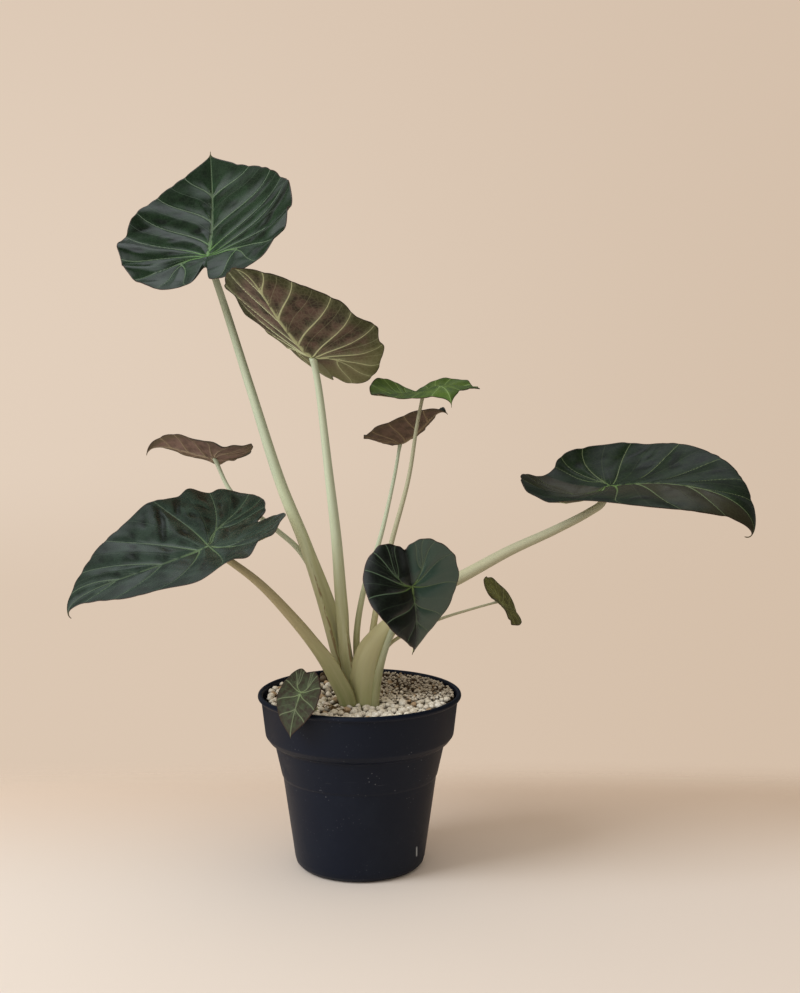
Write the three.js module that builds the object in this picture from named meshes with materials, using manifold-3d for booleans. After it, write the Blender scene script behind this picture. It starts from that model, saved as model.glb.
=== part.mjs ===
// A potted aroid house plant. Ten shield-shaped leaves stand on sheathed petioles, which grow from a
// short corm in potting mix. Pumice covers the mix, and a thin-walled nursery pot holds it all.
// Millimetres, +Z up. The origin is the centre of the pot's underside, and the plant's front faces -Y.

import * as THREE from 'three';
import { mergeVertices } from 'three/addons/utils/BufferGeometryUtils.js';
import Module from 'manifold-3d';

const wasm = await Module();
wasm.setup();

// Driving dimensions of the pot and its filling

const GAP = 0.3;
const POT_HEIGHT = 166;
const LIP_RADIUS = 95.5;
const LIP_HEIGHT = 5;
const BAND_HEIGHT = 45;
const BAND_TOP_RADIUS = 92.3;
const BAND_FOOT_RADIUS = 88.7;
const BODY_TOP_RADIUS = 80;
const STEP_HEIGHT = 88;
const STEP_RADIUS = 73.2;
const BASE_RADIUS = 61.5;
const BASE_CORNER = 9;
const WALL = 1.6;
const FILL_RADIUS = BAND_FOOT_RADIUS - WALL + 1.2;
const FLOOR = 2.4;
const POT_SEGMENTS = 36;

const DRAIN_COUNT = 8;
const DRAIN_RADIUS = 5;
const DRAIN_RING = 40;

const MIX_TOP = 147;
const BED_CENTRE = 153.5;
const BED_DISH = 6;
const GRAIN_COUNT = 64;
const GRAIN_MIN = 5.2;
const GRAIN_MAX = 8.4;
const GRAIN_REACH = 81;

const CORM_TOP = 128;
const CORM_RADIUS = 17;
const CORM_LENGTH = 34;

// Driving dimensions of a blade: its thickness, and the ridge of the midrib under it

const BLADE_CENTRE_THICKNESS = 1.6;
const BLADE_EDGE_THICKNESS = 0.9;
const MIDRIB_DEPTH = 1.0;
const CREASE_REACH = 9;

// Half of the flattened blade, from the drip tip round to the sinus. The first number is the share of
// the front length, or of the rear length where it is negative. The second is the share of the half width.

const HALF_OUTLINE = [
  [1.0, 0.0], [0.94, 0.03], [0.8, 0.25], [0.6, 0.58], [0.35, 0.86],
  [0.05, 1.0], [-0.45, 0.93], [-0.85, 0.66], [-1.0, 0.38], [-0.9, 0.12],
];

// The leaves. junction is where the petiole meets the blade. heading, rise and roll (degrees) turn the
// midrib from +X towards +Y, lift it, and tilt the blade about it. front, rear and half are the lengths
// of the blade from the junction to the drip tip, to the lobes' ends, and to the side margins. sinus is
// the share of the rear length that is cut in between the lobes. arch, hook and drop bend the blade
// down towards its tip, at the tip itself and over the lobes. Each side has a fold at the midrib, a
// curl out to the margin, and a twist that grows towards the tip.

const LEAVES = [
  {
    name: 'low_left',
    junction: [-135, -40, 310], heading: 200, rise: -18, roll: -4,
    front: 147, half: 91, rear: 71, sinus: 0.71, taper: -0.1, lean: -0.02,
    arch: -6, hook: 58, drop: -16, wave: 3, waves: 4.5, rings: 5, steps: 20,
    left: { fold: -5, curl: 17, twist: -9 }, right: { fold: 14, curl: 15, twist: 10 },
    petiole: {
      route: [[-8, -7, 125], [-11, -9, 158], [-21, -12, 181], [-33, -15, 203], [-65, -24, 246],
        [-94, -32, 278]],
      back: 215, foot: 9, neck: 3, sheath: 0.5, spread: 0.35, wing: 0.25, hollow: 0.5,
      sides: 12, rings: 16,
    },
  },
  {
    name: 'right',
    junction: [227, -5, 360], heading: -40, rise: 14, roll: 13,
    front: 177, half: 102, rear: 74, sinus: 0.89, taper: 0.02, lean: 0.11,
    arch: 35, hook: 114, drop: -46, wave: 3, waves: 5, rings: 5, steps: 20,
    left: { fold: -9, curl: 25, twist: -9 }, right: { fold: 0, curl: 20, twist: -12 },
    petiole: {
      route: [[6, -4, 125], [6, -5, 158], [7, -6, 181], [11, -6, 201], [30, -5, 231], [66, -5, 262],
        [93, -5, 275], [140, -6, 301], [180, -8, 320], [212, -9, 337], [224, -9, 346]],
      back: 290, foot: 9.6, neck: 3.4, sheath: 0.36, spread: 0.6, wing: 0.35, hollow: 0.5,
      sides: 12, rings: 20,
    },
  },
  {
    name: 'low_front',
    junction: [48, -70, 279], heading: 12, rise: -76, roll: 53,
    front: 69, half: 48, rear: 44, sinus: 0.78, taper: 0, lean: 0,
    arch: 33, hook: 3, drop: -13, wave: 1, waves: 4, rings: 5, steps: 20,
    left: { fold: 21, curl: 5, twist: -24 }, right: { fold: 12, curl: -47, twist: 35 },
    petiole: {
      route: [[13, -10, 125], [15, -9, 165], [20, -11, 194], [29, -18, 224], [40, -42, 252]],
      back: 320, foot: 4.4, neck: 2, sheath: 0.5, spread: 0.2, wing: 0.2, hollow: 0.3,
      sides: 8, rings: 12,
    },
  },
  {
    name: 'high_middle',
    junction: [-41, -10, 479], heading: 239, rise: 29, roll: -15,
    front: 150, half: 84, rear: 59, sinus: 0.63, taper: 0.11, lean: -0.21,
    arch: -24, hook: 62, drop: 3, wave: 3, waves: 4.5, rings: 5, steps: 20,
    left: { fold: 29, curl: 23, twist: 0 }, right: { fold: 9, curl: 6, twist: 0 },
    petiole: {
      route: [[-4, 4, 125], [-7, 4, 165], [-13, 3, 205], [-17, 1, 253], [-21, -2, 310], [-28, -5, 376],
        [-36, -8, 449]],
      back: 180, foot: 8, neck: 3, sheath: 0.34, spread: 0.5, wing: 0.4, hollow: 0.4,
      sides: 10, rings: 18,
    },
  },
  {
    name: 'high_left',
    junction: [-142, 45, 571], heading: 90, rise: 27, roll: -13,
    front: 160, half: 92, rear: 69, sinus: 0.35, taper: 0.18, lean: -0.09,
    arch: -34, hook: 12, drop: -12, wave: 3.5, waves: 5, rings: 5, steps: 20,
    left: { fold: 7, curl: 18, twist: 10 }, right: { fold: 7, curl: 32, twist: 10 },
    petiole: {
      route: [[-8, 11, 125], [-10, 10, 165], [-16, 10, 189], [-32, 14, 247], [-51, 20, 302], [-74, 26, 359],
        [-102, 34, 447], [-127, 41, 527]],
      back: 150, foot: 8.5, neck: 3.2, sheath: 0.42, spread: 0.3, wing: 0.3, hollow: 0.4,
      sides: 12, rings: 20,
    },
  },
  {
    name: 'small_right',
    junction: [132, 30, 246], heading: 50, rise: -22, roll: 38,
    front: 50, half: 28, rear: 19, sinus: 0.68, taper: -0.09, lean: -0.05,
    arch: 16, hook: 90, drop: -2, wave: 0.8, waves: 4, rings: 4, steps: 14,
    left: { fold: 20, curl: -9, twist: 3 }, right: { fold: 17, curl: -44, twist: -14 },
    petiole: {
      route: [[13, 3, 125], [13, 3, 165], [17, 2, 191], [26, 3, 208], [36, 5, 216], [75, 14, 232],
        [105, 22, 240]],
      back: 0, foot: 2.6, neck: 1.1, sheath: 0.3, spread: 0.1, wing: 0.2, hollow: 0.2,
      sides: 6, rings: 14,
    },
  },
  {
    name: 'small_middle_front',
    junction: [60, 40, 444], heading: 284, rise: 17, roll: 6,
    front: 96, half: 52, rear: 34, sinus: 0.8, taper: -0.11, lean: 0.02,
    arch: 23, hook: 88, drop: -40, wave: 1.5, waves: 4, rings: 5, steps: 16,
    left: { fold: 0, curl: -5, twist: -18 }, right: { fold: -7, curl: 26, twist: -30 },
    petiole: {
      route: [[6, 9, 125], [6, 9, 165], [12, 8, 220], [19, 12, 260], [30, 18, 305], [46, 30, 364],
        [54, 37, 414]],
      back: 90, foot: 4, neck: 1.6, sheath: 0.3, spread: 0.15, wing: 0.2, hollow: 0.3,
      sides: 6, rings: 14,
    },
  },
  {
    name: 'small_middle_back',
    junction: [38, 100, 390], heading: 309, rise: 21, roll: -1,
    front: 82, half: 42, rear: 22, sinus: 0.59, taper: 0, lean: 0,
    arch: -34, hook: 97, drop: -31, wave: 1.5, waves: 4, rings: 5, steps: 16,
    left: { fold: 19, curl: 12, twist: 15 }, right: { fold: 24, curl: -17, twist: 4 },
    petiole: {
      route: [[1, 13, 125], [0, 12, 165], [-3, 12, 217], [6, 24, 268], [18, 38, 302], [32, 78, 358]],
      back: 90, foot: 4, neck: 1.6, sheath: 0.3, spread: 0.15, wing: 0.2, hollow: 0.3,
      sides: 6, rings: 14,
    },
  },
  {
    name: 'small_left',
    junction: [-140, 60, 380], heading: 179, rise: 14, roll: 23,
    front: 71, half: 47, rear: 40, sinus: 0.4, taper: 0, lean: 0.03,
    arch: -4, hook: 112, drop: -46, wave: 1.5, waves: 4, rings: 5, steps: 16,
    left: { fold: 17, curl: -35, twist: 3 }, right: { fold: 21, curl: -22, twist: -10 },
    petiole: {
      route: [[-12, 16, 125], [-14, 16, 165], [-23, 17, 212], [-39, 22, 264], [-57, 28, 295], [-80, 38, 314],
        [-123, 54, 347]],
      back: 150, foot: 4.4, neck: 1.9, sheath: 0.3, spread: 0.15, wing: 0.2, hollow: 0.3,
      sides: 6, rings: 14,
    },
  },
  {
    name: 'over_rim',
    junction: [-50, -80, 185], heading: 226, rise: -60, roll: -3,
    front: 42, half: 26, rear: 21, sinus: 0.85, taper: 0.06, lean: 0,
    arch: 21, hook: 11, drop: -6, wave: 0.6, waves: 4, rings: 4, steps: 14,
    left: { fold: 9, curl: -4, twist: -6 }, right: { fold: 6, curl: -12, twist: 8 },
    petiole: {
      route: [[-38, -40, 129], [-39, -45, 160], [-43, -60, 176]],
      back: 45, foot: 2.6, neck: 1.4, sheath: 0.3, spread: 0.1, wing: 0.2, hollow: 0.2,
      sides: 6, rings: 8,
    },
  },
];

const radians = THREE.MathUtils.degToRad;

// Solids

function solidFromArrays(positions, triangles) {
  const mesh = new wasm.Mesh({
    numProp: 3,
    vertProperties: new Float32Array(positions),
    triVerts: new Uint32Array(triangles),
  });
  mesh.merge();
  return new wasm.Manifold(mesh);
}

function solidFromGeometry(geometry) {
  const bare = geometry.clone();
  bare.deleteAttribute('normal');
  bare.deleteAttribute('uv');
  const merged = mergeVertices(bare, 1e-4);
  const index = merged.index.array;
  const triangles = [];
  for (let i = 0; i < index.length; i += 3) {
    const [a, b, c] = [index[i], index[i + 1], index[i + 2]];
    if (a !== b && b !== c && c !== a) triangles.push(a, b, c);
  }
  return solidFromArrays(merged.attributes.position.array, triangles);
}

function largestPiece(solid) {
  const pieces = solid.decompose();
  return pieces.reduce((best, piece) => (piece.volume() > best.volume() ? piece : best));
}

function meshFromSolid(name, solid, material) {
  const { vertProperties, triVerts } = solid.getMesh();
  const geometry = new THREE.BufferGeometry();
  geometry.setAttribute('position', new THREE.BufferAttribute(new Float32Array(vertProperties), 3));
  geometry.setIndex(new THREE.BufferAttribute(new Uint32Array(triVerts), 1));
  geometry.computeVertexNormals();
  const mesh = new THREE.Mesh(geometry, material);
  mesh.name = name;
  return mesh;
}

// A solid turned about +Z from a closed profile of [radius, height] pairs

function turned(profile, segments) {
  const points = profile.map(([radius, height]) => new THREE.Vector2(radius, height));
  const geometry = new THREE.LatheGeometry(points, segments);
  geometry.rotateX(Math.PI / 2);
  return solidFromGeometry(geometry);
}

// A repeatable draw between 0 and 1

function seededDraw(seed) {
  let state = seed;
  return () => {
    state = (state * 1664525 + 1013904223) % 4294967296;
    return state / 4294967296;
  };
}

// Blade surface

// The half outline at a place from 0 (drip tip) to 1 (sinus), by a curve through its points that
// runs straight across the midrib at both ends

function outlinePoint(leaf, place) {
  const points = [...HALF_OUTLINE, [-leaf.sinus, 0]];
  const last = points.length - 1;
  const scaled = place * last;
  const start = Math.min(Math.floor(scaled), last - 1);
  const share = scaled - start;
  const before = start > 0 ? points[start - 1] : [points[1][0], -points[1][1]];
  const after = start < last - 1 ? points[start + 2] : [points[last - 1][0], -points[last - 1][1]];
  const [from, to] = [points[start], points[start + 1]];
  const [along, across] = [0, 1].map((axis) => {
    const [a, b, c, d] = [before[axis], from[axis], to[axis], after[axis]];
    return 0.5 * (2 * b + (c - a) * share + (2 * a - 5 * b + 4 * c - d) * share ** 2
      + (3 * b - a - 3 * c + d) * share ** 3);
  });
  return [along, Math.abs(across) * (1 + leaf.taper * along)];
}

// The blade's own directions: along the midrib, to its left, and out of its upper side

function bladeFrame(leaf) {
  const [heading, rise, roll] = [leaf.heading, leaf.rise, leaf.roll].map(radians);
  const along = new THREE.Vector3(
    Math.cos(rise) * Math.cos(heading),
    Math.cos(rise) * Math.sin(heading),
    Math.sin(rise),
  );
  const left = new THREE.Vector3(-Math.sin(heading), Math.cos(heading), 0).applyAxisAngle(along, roll);
  const up = along.clone().cross(left);
  return { along, left, up };
}

// The bent midrib: how far it has gone along and up, and its slope, at a share of its length

const MIDRIB_STEPS = 24;

function midribPoint(leaf, share) {
  const forward = share >= 0;
  const reach = Math.abs(share);
  const length = forward ? leaf.front : leaf.rear;
  const slopeAt = (q) => (forward
    ? -(radians(leaf.arch) * q + radians(leaf.hook) * q ** 6)
    : radians(leaf.drop) * q);
  let run = 0;
  let rise = 0;
  for (let step = 0; step < MIDRIB_STEPS; step += 1) {
    const slope = slopeAt((reach * (step + 0.5)) / MIDRIB_STEPS);
    run += Math.cos(slope) / MIDRIB_STEPS;
    rise += Math.sin(slope) / MIDRIB_STEPS;
  }
  const sign = forward ? 1 : -1;
  return { run: sign * length * reach * run, rise: sign * length * reach * rise, slope: slopeAt(reach) };
}

// A point of the blade's middle surface. Each half is an arc that starts at the fold angle and curls
// evenly out to the margin, where the wave lifts and lowers it.

function bladePoint(leaf, frame, along, across, side) {
  const { fold, curl, twist } = side > 0 ? leaf.left : leaf.right;
  const midrib = midribPoint(leaf, along);
  const start = radians(fold + twist * along);
  const turn = radians(Math.abs(curl) < 0.1 ? 0.1 : curl);
  const half = leaf.half * (1 + leaf.lean * side);
  const lateral = (half * (Math.sin(start + turn * across) - Math.sin(start))) / turn;
  const lift = (half * (Math.cos(start) - Math.cos(start + turn * across))) / turn
    + leaf.wave * across ** 3 * Math.sin(leaf.waves * Math.PI * along + side * 1.3);
  const run = midrib.run - Math.sin(midrib.slope) * lift;
  const rise = midrib.rise + Math.cos(midrib.slope) * lift;
  return new THREE.Vector3(...leaf.junction)
    .addScaledVector(frame.along, run)
    .addScaledVector(frame.left, side * lateral)
    .addScaledVector(frame.up, rise);
}

function bladeNormal(leaf, frame, along, across, side) {
  const step = 0.01;
  const slope = midribPoint(leaf, along).slope;
  const spine = frame.up.clone()
    .multiplyScalar(Math.cos(slope))
    .addScaledVector(frame.along, -Math.sin(slope));
  const place = Math.max(across, step);
  const ahead = bladePoint(leaf, frame, along + step, place, side);
  const behind = bladePoint(leaf, frame, along - step, place, side);
  const outer = bladePoint(leaf, frame, along, place + step, side);
  const inner = bladePoint(leaf, frame, along, place - step, side);
  const surface = ahead.sub(behind).cross(outer.sub(inner)).multiplyScalar(side).normalize();
  const share = THREE.MathUtils.smoothstep(across * leaf.half, 0, CREASE_REACH);
  return spine.lerp(surface, share).normalize();
}

// Blade solid: rings from the junction out to the margin, the same on both faces, closed by the edge

function bladeSolid(leaf, extra = 0) {
  const frame = bladeFrame(leaf);
  const columns = 2 * leaf.steps;
  const positions = [];
  const addPair = (along, across, side) => {
    const middle = bladePoint(leaf, frame, along, across, side);
    const normal = bladeNormal(leaf, frame, along, across, side);
    const outwards = Math.min(1, Math.hypot(along, across));
    const thickness = extra
      + THREE.MathUtils.lerp(BLADE_CENTRE_THICKNESS, BLADE_EDGE_THICKNESS, outwards);
    const isMidrib = across === 0 && along > 0.1 && along < 0.95;
    const ridge = isMidrib ? MIDRIB_DEPTH * (1 - along) : 0;
    const top = middle.clone().addScaledVector(normal, thickness / 2);
    const bottom = middle.clone().addScaledVector(normal, -thickness / 2 - ridge);
    positions.push(...top.toArray(), ...bottom.toArray());
  };

  addPair(0, 0, 1);
  for (let ring = 1; ring <= leaf.rings; ring += 1) {
    const share = ring / leaf.rings;
    for (let column = 0; column < columns; column += 1) {
      const isLeft = column <= leaf.steps;
      const place = (isLeft ? column : columns - column) / leaf.steps;
      const [along, across] = outlinePoint(leaf, place);
      addPair(along * share, across * share, isLeft ? 1 : -1);
    }
  }

  const pairIndex = (ring, column) => (ring === 0 ? 0 : 1 + (ring - 1) * columns + (column % columns));
  const vertex = (ring, column, face) => 2 * pairIndex(ring, column) + face;
  const triangles = [];
  for (let column = 0; column < columns; column += 1) {
    for (let ring = 0; ring < leaf.rings; ring += 1) {
      for (const face of [0, 1]) {
        const [a, b] = [vertex(ring, column, face), vertex(ring, column + 1, face)];
        const [c, d] = [vertex(ring + 1, column, face), vertex(ring + 1, column + 1, face)];
        const pair = ring === 0 ? [[a, c, d]] : [[a, c, d], [a, d, b]];
        pair.forEach(([p, q, r]) => triangles.push(...(face === 0 ? [p, q, r] : [p, r, q])));
      }
    }
    const [top, nextTop] = [vertex(leaf.rings, column, 0), vertex(leaf.rings, column + 1, 0)];
    const [bottom, nextBottom] = [vertex(leaf.rings, column, 1), vertex(leaf.rings, column + 1, 1)];
    triangles.push(top, bottom, nextBottom, top, nextBottom, nextTop);
  }
  return solidFromArrays(positions, triangles);
}

// Petiole solid: rings along its route. Its lower part is a sheath that opens above the foot: broad,
// hollowed on its inner side, with a thin wing at each margin. Above the sheath it is a round stalk
// that narrows to the blade.

const HOLLOW_WIDTH = radians(42);
const WING_PLACE = radians(118);
const WING_WIDTH = radians(20);

function petioleSolid(leaf, grow = 0) {
  const { route, back, foot, neck, sheath, spread, wing, hollow, sides, rings } = leaf.petiole;
  const curve = new THREE.CatmullRomCurve3(
    [...route, leaf.junction].map((point) => new THREE.Vector3(...point)),
    false,
    'centripetal',
  );
  const outward = new THREE.Vector3(Math.cos(radians(back)), Math.sin(radians(back)), 0);
  const positions = [];
  for (let ring = 0; ring <= rings; ring += 1) {
    const share = ring / rings;
    const centre = curve.getPointAt(share);
    const tangent = curve.getTangentAt(share);
    const depth = outward.clone().addScaledVector(tangent, -outward.dot(tangent)).normalize();
    const width = tangent.clone().cross(depth);
    const radius = neck + (foot - neck) * (1 - share) ** 1.3;
    const opening = THREE.MathUtils.smoothstep(share, sheath * 0.15, sheath * 0.45)
      * (1 - THREE.MathUtils.smoothstep(share, sheath * 0.6, sheath));
    for (let side = 0; side < sides; side += 1) {
      const angle = (2 * Math.PI * side) / sides;
      const turn = Math.min(angle, 2 * Math.PI - angle);
      const dent = hollow * Math.exp(-(((Math.PI - turn) / HOLLOW_WIDTH) ** 2));
      const flare = wing * Math.exp(-(((turn - WING_PLACE) / WING_WIDTH) ** 2));
      const reach = radius * (1 + opening * (flare - dent)) + grow;
      const point = centre.clone()
        .addScaledVector(depth, reach * Math.cos(angle))
        .addScaledVector(width, reach * Math.sin(angle) * (1 + spread * opening));
      positions.push(...point.toArray());
    }
  }
  const footCentre = curve.getPointAt(0).toArray();
  const topCentre = curve.getPointAt(1).toArray();
  positions.push(...footCentre, ...topCentre);

  const footVertex = (rings + 1) * sides;
  const topVertex = footVertex + 1;
  const triangles = [];
  for (let side = 0; side < sides; side += 1) {
    const next = (side + 1) % sides;
    for (let ring = 0; ring < rings; ring += 1) {
      const [a, b] = [ring * sides + side, ring * sides + next];
      triangles.push(a, b, b + sides, a, b + sides, a + sides);
    }
    triangles.push(footVertex, next, side, topVertex, rings * sides + side, rings * sides + next);
  }
  return solidFromArrays(positions, triangles);
}

// Pot: lip, band, body and flat base in one thin wall, with drain holes through the base

function wallProfile() {
  const bandFoot = POT_HEIGHT - BAND_HEIGHT;
  const lipFoot = POT_HEIGHT - LIP_HEIGHT;
  const corner = (radius, inset) => [0, 1, 2, 3].map((step) => {
    const angle = (step / 3) * (Math.PI / 2);
    return [BASE_RADIUS - BASE_CORNER + radius * Math.sin(angle), inset - radius * Math.cos(angle)];
  });
  const outside = [
    [0, 0],
    ...corner(BASE_CORNER, BASE_CORNER),
    [STEP_RADIUS - 0.8, STEP_HEIGHT - 1],
    [STEP_RADIUS, STEP_HEIGHT + 1],
    [BODY_TOP_RADIUS, bandFoot - 2.6],
    [BODY_TOP_RADIUS + 4.5, bandFoot + 0.6],
    [BAND_FOOT_RADIUS - 0.5, bandFoot + 5.8],
    [BAND_FOOT_RADIUS, bandFoot + 9],
    [BAND_TOP_RADIUS, lipFoot],
    [LIP_RADIUS - 1, lipFoot + 0.5],
    [LIP_RADIUS, lipFoot + 1.8],
    [LIP_RADIUS - 0.3, POT_HEIGHT - 1.5],
    [LIP_RADIUS - 1.6, POT_HEIGHT],
  ];
  const inside = [
    [LIP_RADIUS - 3.2, POT_HEIGHT],
    [BAND_TOP_RADIUS - WALL, lipFoot - 1],
    [BAND_FOOT_RADIUS - WALL, bandFoot + 10],
    [BAND_FOOT_RADIUS - 1 - WALL, bandFoot + 6],
    [BODY_TOP_RADIUS - WALL, bandFoot - 3],
    [STEP_RADIUS - WALL, STEP_HEIGHT],
    ...corner(BASE_CORNER - WALL, BASE_CORNER + FLOOR - WALL).reverse(),
    [0, FLOOR],
  ];
  return [...outside, ...inside];
}

function potSolid() {
  let pot = turned(wallProfile(), POT_SEGMENTS);
  for (let hole = 0; hole < DRAIN_COUNT; hole += 1) {
    const angle = (2 * Math.PI * hole) / DRAIN_COUNT;
    const drill = new THREE.CylinderGeometry(DRAIN_RADIUS, DRAIN_RADIUS, 4 * FLOOR, 10);
    drill.rotateX(Math.PI / 2);
    drill.translate(DRAIN_RING * Math.cos(angle), DRAIN_RING * Math.sin(angle), 0);
    pot = pot.subtract(solidFromGeometry(drill));
  }
  return pot;
}

// Filling: the mix, and the pumice bed with its grains, both with plain holes for what grows in them

function mixSolid() {
  const bandFoot = POT_HEIGHT - BAND_HEIGHT;
  const clear = WALL + 2 * GAP;
  return turned([
    [0, FLOOR + GAP],
    [BASE_RADIUS - BASE_CORNER, FLOOR + GAP],
    [BASE_RADIUS - clear - 0.6, BASE_CORNER + FLOOR],
    [STEP_RADIUS - clear - 0.4, STEP_HEIGHT],
    [BODY_TOP_RADIUS - clear, bandFoot - 2.4],
    [BAND_FOOT_RADIUS - 1 - clear, bandFoot + 6.4],
    [BAND_FOOT_RADIUS - clear, bandFoot + 10],
    [FILL_RADIUS, MIX_TOP],
    [0, MIX_TOP],
  ], POT_SEGMENTS);
}

function bedHeight(radius) {
  return BED_CENTRE + BED_DISH * (radius / GRAIN_REACH) ** 2;
}

function dressingSolid() {
  const rise = [1, 0.75, 0.4, 0].map((share) => [FILL_RADIUS * share, bedHeight(FILL_RADIUS * share)]);
  let dressing = turned([[0, MIX_TOP + GAP], [FILL_RADIUS, MIX_TOP + GAP], ...rise], POT_SEGMENTS);
  const draw = seededDraw(29);
  const golden = Math.PI * (3 - Math.sqrt(5));
  const turn = new THREE.Euler();
  for (let grain = 0; grain < GRAIN_COUNT; grain += 1) {
    const radius = GRAIN_REACH * Math.sqrt((grain + 0.5) / GRAIN_COUNT);
    const angle = grain * golden + 0.3 * draw();
    const size = GRAIN_MIN + (GRAIN_MAX - GRAIN_MIN) * draw();
    const stone = new THREE.OctahedronGeometry(size, 0);
    turn.set(2 * Math.PI * draw(), 2 * Math.PI * draw(), 0);
    stone.applyMatrix4(new THREE.Matrix4().makeRotationFromEuler(turn));
    stone.scale(0.85 + 0.35 * draw(), 0.85 + 0.3 * draw(), 0.55 + 0.15 * draw());
    stone.translate(
      radius * Math.cos(angle),
      radius * Math.sin(angle),
      bedHeight(radius) + size * (0.05 + 0.25 * draw()),
    );
    dressing = dressing.add(solidFromGeometry(stone));
  }
  return dressing;
}

// Corm: the short stem in the mix, round-shouldered, with its flat top under the petioles' feet

function cormSolid(grow = 0) {
  const radius = CORM_RADIUS + grow;
  const top = CORM_TOP + grow;
  const bottom = CORM_TOP - CORM_LENGTH - grow;
  return turned([
    [0, bottom],
    [radius * 0.5, bottom + 2],
    [radius * 0.92, bottom + CORM_LENGTH * 0.3],
    [radius, bottom + CORM_LENGTH * 0.6],
    [radius * 0.86, top],
    [0, top],
  ], 20);
}

// Materials

const finish = (color, roughness) => new THREE.MeshStandardMaterial({ color, roughness, metalness: 0 });
const FINISHES = {
  pot: finish(0x24252b, 0.55),
  mix: finish(0x3a2c20, 0.95),
  pumice: finish(0xc9bba0, 0.95),
  corm: finish(0x6b5236, 0.85),
  blade: finish(0x3a4638, 0.45),
  petiole: finish(0xa3a67c, 0.5),
};

// The plant is built from the front petiole back, and each is trimmed clear of those before it

const root = new THREE.Group();
let stalks = null;
for (const leaf of LEAVES) {
  const blade = bladeSolid(leaf);
  let petiole = petioleSolid(leaf).subtract(bladeSolid(leaf, 2 * GAP)).subtract(cormSolid(GAP));
  if (stalks) petiole = petiole.subtract(stalks);
  petiole = largestPiece(petiole);
  const grown = petioleSolid(leaf, GAP);
  stalks = stalks ? stalks.add(grown) : grown;
  root.add(meshFromSolid(`blade_${leaf.name}`, blade, FINISHES.blade));
  root.add(meshFromSolid(`petiole_${leaf.name}`, petiole, FINISHES.petiole));
}

root.add(meshFromSolid('pot', potSolid(), FINISHES.pot));
root.add(meshFromSolid('corm', cormSolid(), FINISHES.corm));
const mix = largestPiece(mixSolid().subtract(cormSolid(GAP)).subtract(stalks));
const dressing = largestPiece(dressingSolid().subtract(stalks));
root.add(meshFromSolid('potting_mix', mix, FINISHES.mix));
root.add(meshFromSolid('pumice', dressing, FINISHES.pumice));

export default root;
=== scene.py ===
import math

import bpy
import numpy as np
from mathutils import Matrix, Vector


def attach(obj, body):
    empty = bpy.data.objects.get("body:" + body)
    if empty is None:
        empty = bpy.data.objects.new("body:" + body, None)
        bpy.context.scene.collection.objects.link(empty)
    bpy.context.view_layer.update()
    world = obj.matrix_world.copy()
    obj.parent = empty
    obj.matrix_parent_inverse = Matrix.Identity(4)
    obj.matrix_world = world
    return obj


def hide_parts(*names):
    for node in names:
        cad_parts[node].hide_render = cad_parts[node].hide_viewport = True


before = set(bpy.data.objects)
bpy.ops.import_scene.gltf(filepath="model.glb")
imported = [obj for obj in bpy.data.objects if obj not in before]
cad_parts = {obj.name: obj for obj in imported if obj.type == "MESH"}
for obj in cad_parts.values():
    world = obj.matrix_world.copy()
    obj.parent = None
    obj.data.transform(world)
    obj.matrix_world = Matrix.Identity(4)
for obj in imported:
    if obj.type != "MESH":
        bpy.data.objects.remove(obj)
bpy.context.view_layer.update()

# Studio. The plant stands on a pale seamless sweep. A soft lamp on the left lights it, and the room on
# the camera's side is dim. The floor fades into the backdrop a little way behind the pot.

CAMERA_PLACE = (0.0379, -1.5, 0.5418)
CAMERA_PITCH = 7.27
CAMERA_LENS = 59.27

camera = bpy.data.objects.new("camera", bpy.data.cameras.new("camera"))
camera.data.lens = CAMERA_LENS
camera.data.sensor_width = 36
camera.data.clip_start = 0.05
camera.location = CAMERA_PLACE
camera.rotation_euler = (math.radians(90 - CAMERA_PITCH), 0, 0)
bpy.context.collection.objects.link(camera)
bpy.context.scene.camera = camera
bpy.context.scene.view_settings.view_transform = "Standard"


def paint(red, green, blue):
    """A colour given as it looks on a screen, 0 to 255, turned into the amounts of light it stands for."""
    share = np.array([red, green, blue]) / 255
    light = np.where(share < 0.04045, share / 12.92, ((share + 0.055) / 1.055) ** 2.4)
    return (*light.tolist(), 1.0)


class Wire:
    """A value, colour or vector on its way through a finish. Its operators add Math nodes."""

    def __init__(self, tree, socket):
        self.tree = tree
        self.socket = socket

    def math(self, operation, *others):
        return self.tree.node("ShaderNodeMath", {"operation": operation}, dict(enumerate((self, *others))))

    def __add__(self, other):
        return self.math("ADD", other)

    def __mul__(self, other):
        return self.math("MULTIPLY", other)

    def __sub__(self, other):
        return self.math("SUBTRACT", other)

    def __rsub__(self, other):
        return self.tree.node("ShaderNodeMath", {"operation": "SUBTRACT"}, {0: other, 1: self})

    def __abs__(self):
        return self.math("ABSOLUTE")

    __radd__ = __add__
    __rmul__ = __mul__

    def ramp(self, low, high):
        """Nought at low and one at high, with a smooth rise between them. Low may be the larger."""
        ends = {0: self, 1: low, 2: high}
        return self.tree.node("ShaderNodeMapRange", {"interpolation_type": "SMOOTHSTEP"}, ends)


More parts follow.
